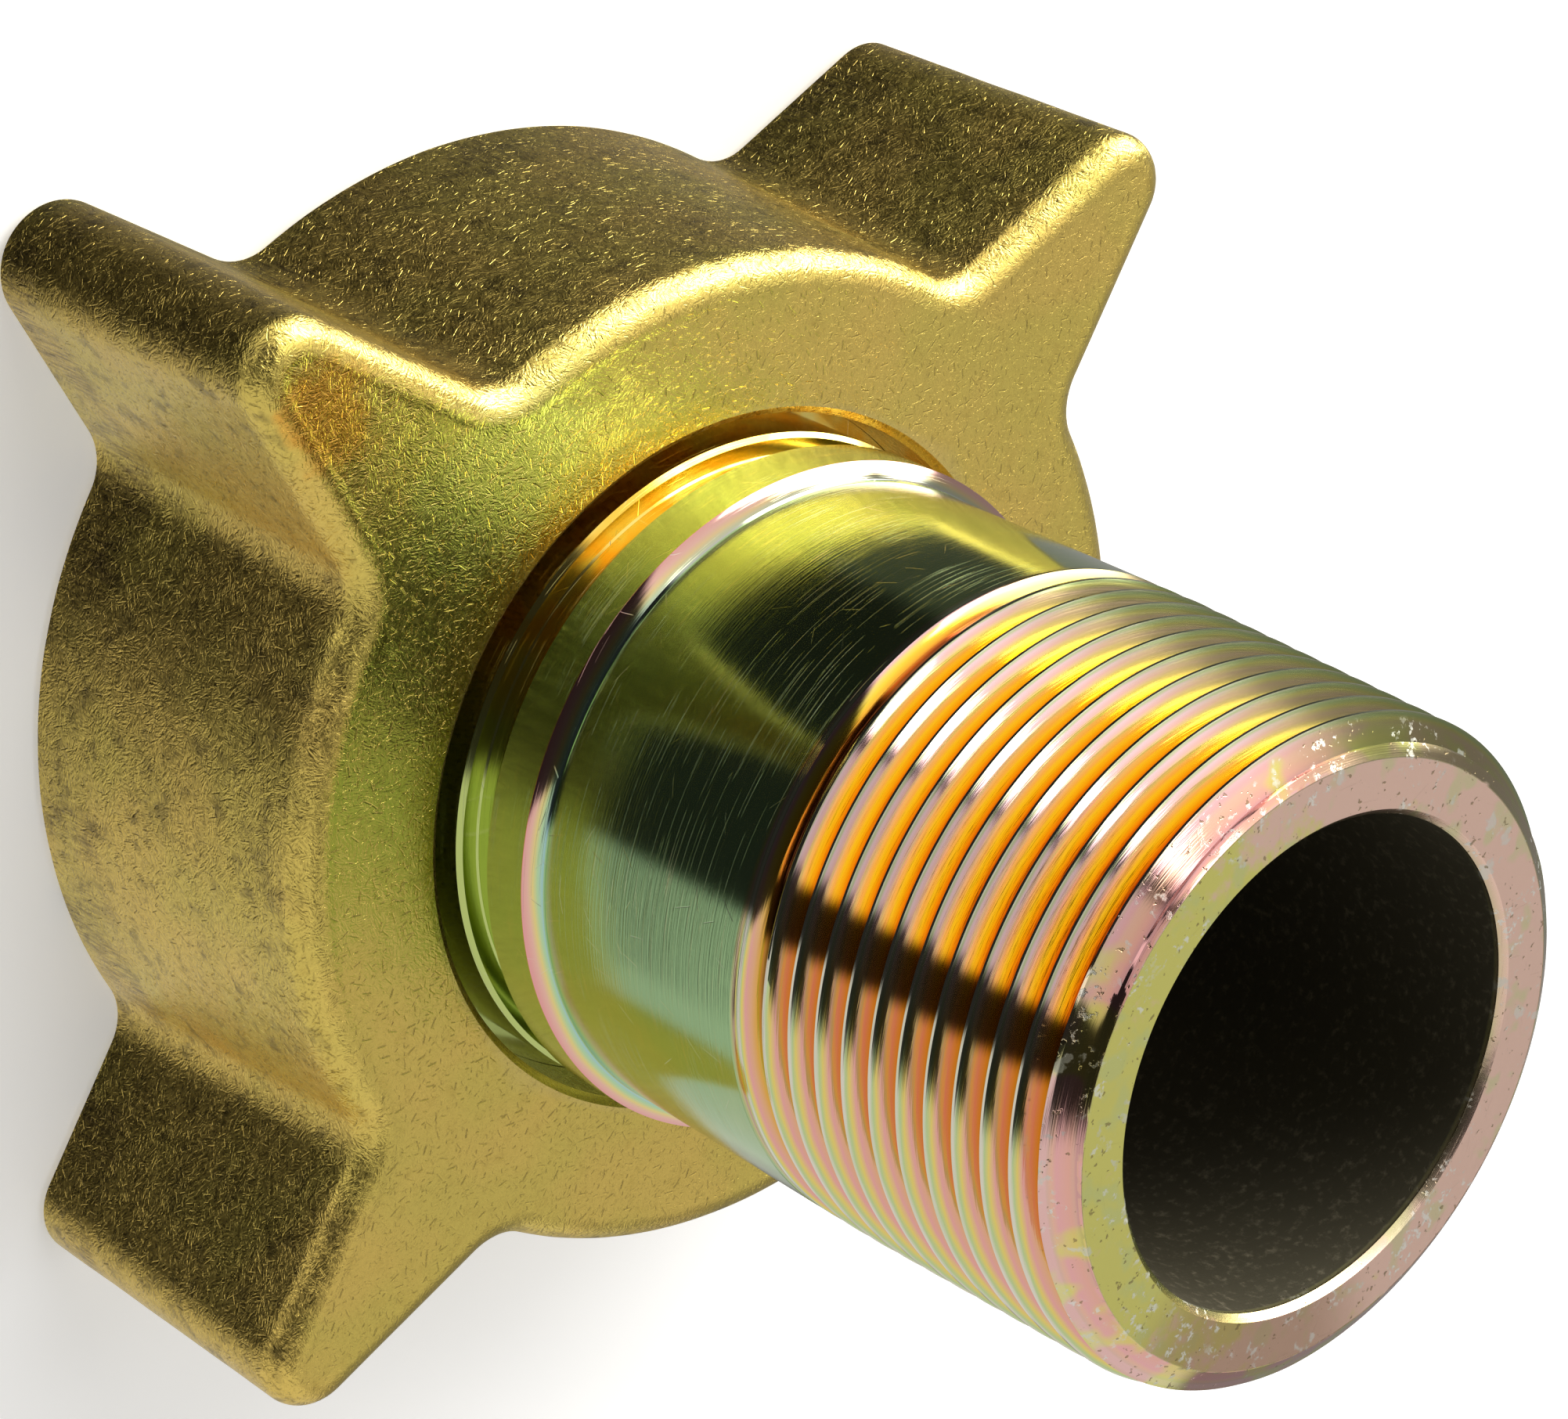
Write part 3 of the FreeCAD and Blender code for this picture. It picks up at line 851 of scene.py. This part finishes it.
def nipple(finish):
    """The nipple, turned from rings, with the helical taper thread between barrel and end chamfer."""
    angles = [TURN * step / NIPPLE_STEPS for step in range(NIPPLE_STEPS)]
    rings = []
    marks = []

    def add(radius, height, **mark):
        rings.append(ring_of(angles, radius, height))
        marks.append({"thread": 0.0, "crest": 0.0, "bore": 0.0, "end": 0.0, **mark})

    edge = NIPPLE_EDGE
    add(GAS_BORE_RADIUS, RECESS_TOP, bore=0.5)
    add(RECESS_RADIUS, RECESS_TOP)
    add(RECESS_RADIUS, NIPPLE_BASE)
    add(FLANGE_RADIUS - FLANGE_CHAMFER, NIPPLE_BASE)
    add(FLANGE_RADIUS, NIPPLE_BASE + FLANGE_CHAMFER)
    add(FLANGE_RADIUS, FLANGE_TOP - FLANGE_CHAMFER)
    add(FLANGE_RADIUS - FLANGE_CHAMFER, FLANGE_TOP)
    add(SHANK_RADIUS, FLANGE_TOP)
    add(SHANK_RADIUS, SHANK_TOP - SHANK_CHAMFER)
    add(SHANK_RADIUS - SHANK_CHAMFER, SHANK_TOP)
    add(GROOVE_RADIUS + edge, SHANK_TOP)
    add(GROOVE_RADIUS, SHANK_TOP + edge)
    add(GROOVE_RADIUS, GROOVE_TOP - edge)
    add(GROOVE_RADIUS + edge, GROOVE_TOP)
    add(COLLAR_RADIUS - edge, GROOVE_TOP)
    add(COLLAR_RADIUS, GROOVE_TOP + edge)
    add(COLLAR_RADIUS, COLLAR_TOP - edge / 2)
    add(COLLAR_RADIUS - edge, COLLAR_TOP + edge * 0.7)
    add(BARREL_RADIUS + edge, BARREL_BASE - edge * 0.7)
    add(BARREL_RADIUS, BARREL_BASE + edge)
    for height in spread(BARREL_BASE + 1.5, THREAD_BASE, 8):
        add(BARREL_RADIUS, height)
    add(BARREL_RADIUS, THREAD_BASE)
    columns, turn_rows = pipe_thread_columns(angles)
    first = len(rings)
    clipped = [clipped_column([spot[:2] for spot in column], THREAD_BASE, NIPPLE_TOP) for column in columns]
    for row in range(len(columns[0])):
        ring = []
        crests = []
        threads = []
        for angle, column, held in zip(angles, columns, clipped):
            height, radius = held[row]
            ring.append(turned_point(radius, angle, height))
            crests.append(column[row][2])
            threads.append(min(1.0, max(0.0, (height - THREAD_BASE) / THREAD_FADE)))
        rings.append(ring)
        marks.append({"thread": threads, "crest": crests, "bore": 0.0, "end": 0.0})
    helix = (first, len(rings), turn_rows)
    add(END_FACE_RADIUS, NIPPLE_TOP, end=1.0)
    add(END_FACE_RADIUS - 0.1, NIPPLE_TOP, end=1.0)
    add((END_FACE_RADIUS + GAS_BORE_RADIUS) / 2, NIPPLE_TOP, end=1.0)
    add(GAS_BORE_RADIUS + GAS_BORE_CHAMFER, NIPPLE_TOP, end=1.0)
    add(GAS_BORE_RADIUS, NIPPLE_TOP - GAS_BORE_CHAMFER, end=0.5)
    for depth in (0.8, 20, 40):
        add(GAS_BORE_RADIUS, NIPPLE_TOP - depth, bore=1.0)
    mesh_data = lofted("nipple_turning", rings, marks, helix)
    return finished_piece("nipple_turning", mesh_data, finish, 24)


def gasket(finish):
    """Rubber washer with rounded rims and two low sealing beads on its lower face."""
    low = gasket_low.z / MM
    high = gasket_high.z / MM
    rim = GASKET_RIM
    section = []

    def add_rim(middle, height, start):
        for step in range(5):
            angle = math.radians(start + 90 * step / 4)
            section.append((middle + rim * math.cos(angle), height + rim * math.sin(angle)))

    add_rim(GASKET_OUTER - rim, high - rim, 0)
    add_rim(GASKET_INNER + rim, high - rim, 90)
    add_rim(GASKET_INNER + rim, low + rim, 180)
    for middle in BEAD_RADII:
        for share in (-1.0, -1 / 3, 1 / 3, 1.0):
            section.append((middle + share * BEAD_HALF_WIDTH, low + BEAD_HEIGHT * abs(share)))
    add_rim(GASKET_OUTER - rim, low + rim, 270)
    angles = [TURN * step / GASKET_STEPS for step in range(GASKET_STEPS)]
    rings = [ring_of(angles, radius, height) for radius, height in section]
    mesh_data = lofted("gasket_washer", rings, [{}] * len(rings))
    return finished_piece("gasket_washer", mesh_data, finish, 50)


# Soft lights of the studio as the coupling sees them: first and last azimuth, counted from the camera, lowest
# and highest elevation and softness of the edges, all in degrees, and strength
SOFTBOXES = {
    "left_key": (-124, -70, -4, 22, 5, 9.0),
    "left_key_top": (-112, -70, 20, 35, 5, 9.0),
    "left_wide": (-108, -44, 4, 62, 8, 1.15),
    "left_high": (-150, -70, 40, 66, 6, 1.15),
    "top_key": (-84, -58, 60, 70, 4, 3.5),
    "left_low": (-116, -60, -10, 8, 24, 0.95),
    "left_under": (-126, -84, -66, -40, 10, 0.1),
    "front_strip": (-78, 20, -20, 2, 5, 1.1),
    "right": (45, 148, -42, 58, 6, 0.7),
    "right_high": (100, 166, 44, 60, 6, 0.6),
    "right_low": (88, 160, -62, -42, 8, 0.52),
}
# The same for the lights behind the coupling, with azimuths counted from straight behind
BACK_SOFTBOXES = {
    "back_left": (2, 50, -40, 40, 9, 0.36),
    "back_right": (-40, 0, -40, 40, 9, 0.24),
    "back_middle": (-22, 30, 31, 41, 4, 0.62),
    "back_low": (0, 56, -64, -40, 9, 0.18),
}
# The softbox overhead, in tangents of the angle from straight up: towards the camera and to the right
OVERHEAD_NEAR = 0.3
OVERHEAD_FAR = -0.95
OVERHEAD_RIGHT = 0.12
OVERHEAD_LEFT = -0.2
OVERHEAD_STRENGTH = 0.6
# The room between the softboxes, the pale backdrop beyond the floor, and the lights' colour
DARK_ROOM = 0.02
BACKDROP = 0.9
LIGHT_COLOR = (1.0, 0.985, 0.96, 1.0)


def studio_world():
    """Soft studio: large softboxes at the left, in front, overhead and at the right, in a dark room."""
    world = bpy.data.worlds.new("studio")
    bpy.context.scene.world = world
    tree = Tree(world)
    direction = tree.node("ShaderNodeTexCoord").outputs["Generated"]
    turn = {"rotation_type": "Z_AXIS"}
    facing = tree.node("ShaderNodeVectorRotate", turn, {"Vector": direction, "Angle": -CAMERA_TURN})
    x, y, z = tree.parts(facing.outputs[0])
    side = y.math("ARCTAN2", x) * (180 / math.pi)
    behind = (-y).math("ARCTAN2", -x) * (180 / math.pi)
    rise = z.math("ARCSINE") * (180 / math.pi)
    light = DARK_ROOM
    for turned, boxes in ((side, SOFTBOXES), (behind, BACK_SOFTBOXES)):
        for start, end, low, high, soft, strength in boxes.values():
            glow = strength * turned.band(start, end, soft) * rise.band(low, high, soft)
            light = glow.math("MAXIMUM", light)
    up = z.math("MAXIMUM", 0.05)
    ahead = x / up
    over = ahead.step(OVERHEAD_FAR - 0.15, OVERHEAD_FAR) * ahead.step(OVERHEAD_NEAR + 0.03, OVERHEAD_NEAR)
    over = over * (y / up).band(OVERHEAD_LEFT, OVERHEAD_RIGHT, 0.06)
    light = light.math("MAXIMUM", OVERHEAD_STRENGTH * over * z.step(0.2, 0.4))
    seen = Number(tree, tree.node("ShaderNodeLightPath").outputs["Is Camera Ray"])
    strength = light + (BACKDROP - light) * seen
    shown = tree.node("ShaderNodeBackground", None, {"Color": LIGHT_COLOR, "Strength": strength})
    tree.node("ShaderNodeOutputWorld", None, {0: shown.outputs[0]})


# Half the floor's width, in metres, and how far it lies under the nut's mouth, in millimetres
FLOOR_HALF = 1.5
FLOOR_GAP = 0.02


def pale_floor():
    """The plain floor, lit a little from within, so that it looks evenly pale."""
    made, tree = material("pale_floor")
    tree.surface(
        Base_Color=(0.93, 0.93, 0.93, 1.0),
        Roughness=0.7,
        Emission_Color=(1.0, 1.0, 1.0, 1.0),
        Emission_Strength=0.32,
    )
    half = FLOOR_HALF
    under = -FLOOR_GAP * MM
    corners = [(-half, -half, under), (half, -half, under), (half, half, under), (-half, half, under)]
    mesh_data = bpy.data.meshes.new("floor")
    mesh_data.from_pydata(corners, [], [(0, 1, 2, 3)])
    mesh_data.materials.append(made)
    floor = bpy.data.objects.new("floor", mesh_data)
    bpy.context.scene.collection.objects.link(floor)
    floor.visible_glossy = False


# Camera where the photograph was taken from, in millimetres
CAMERA_PLACE = Vector((34.885, -196.913, 222.737))
CAMERA_FORWARD = Vector((-0.14105, 0.70355, -0.69651))
CAMERA_UP = Vector((-0.81578, -0.48120, -0.32086))
CAMERA_LENS = 100.83
CAMERA_TURN = math.atan2(CAMERA_PLACE.y, CAMERA_PLACE.x)


def camera():
    """The camera, without depth of field."""
    lens = bpy.data.cameras.new("photo_camera")
    lens.lens = CAMERA_LENS
    lens.sensor_width = 36.0
    lens.sensor_fit = "HORIZONTAL"
    lens.clip_start = 0.01
    lens.clip_end = 10.0
    back = -CAMERA_FORWARD.normalized()
    right = CAMERA_UP.cross(back).normalized()
    up = back.cross(right)
    turn = Matrix((right, up, back)).transposed()
    made = bpy.data.objects.new("photo_camera", lens)
    bpy.context.scene.collection.objects.link(made)
    made.matrix_world = Matrix.Translation(CAMERA_PLACE * MM) @ turn.to_4x4()
    bpy.context.scene.camera = made


camera()
bpy.context.scene.view_settings.view_transform = "Standard"
studio_world()
pale_floor()

brass = forged_brass()
plating = plated_steel()
rubber = seal_rubber()

nut_piece = coupling_nut(brass)
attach(nut_piece, "nut_body")
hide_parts("coupling_nut")

nipple_piece = nipple(plating)
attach(nipple_piece, "nipple_body")
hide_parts("nipple")

gasket_piece = gasket(rubber)
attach(gasket_piece, "nipple_body")
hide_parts("gasket")
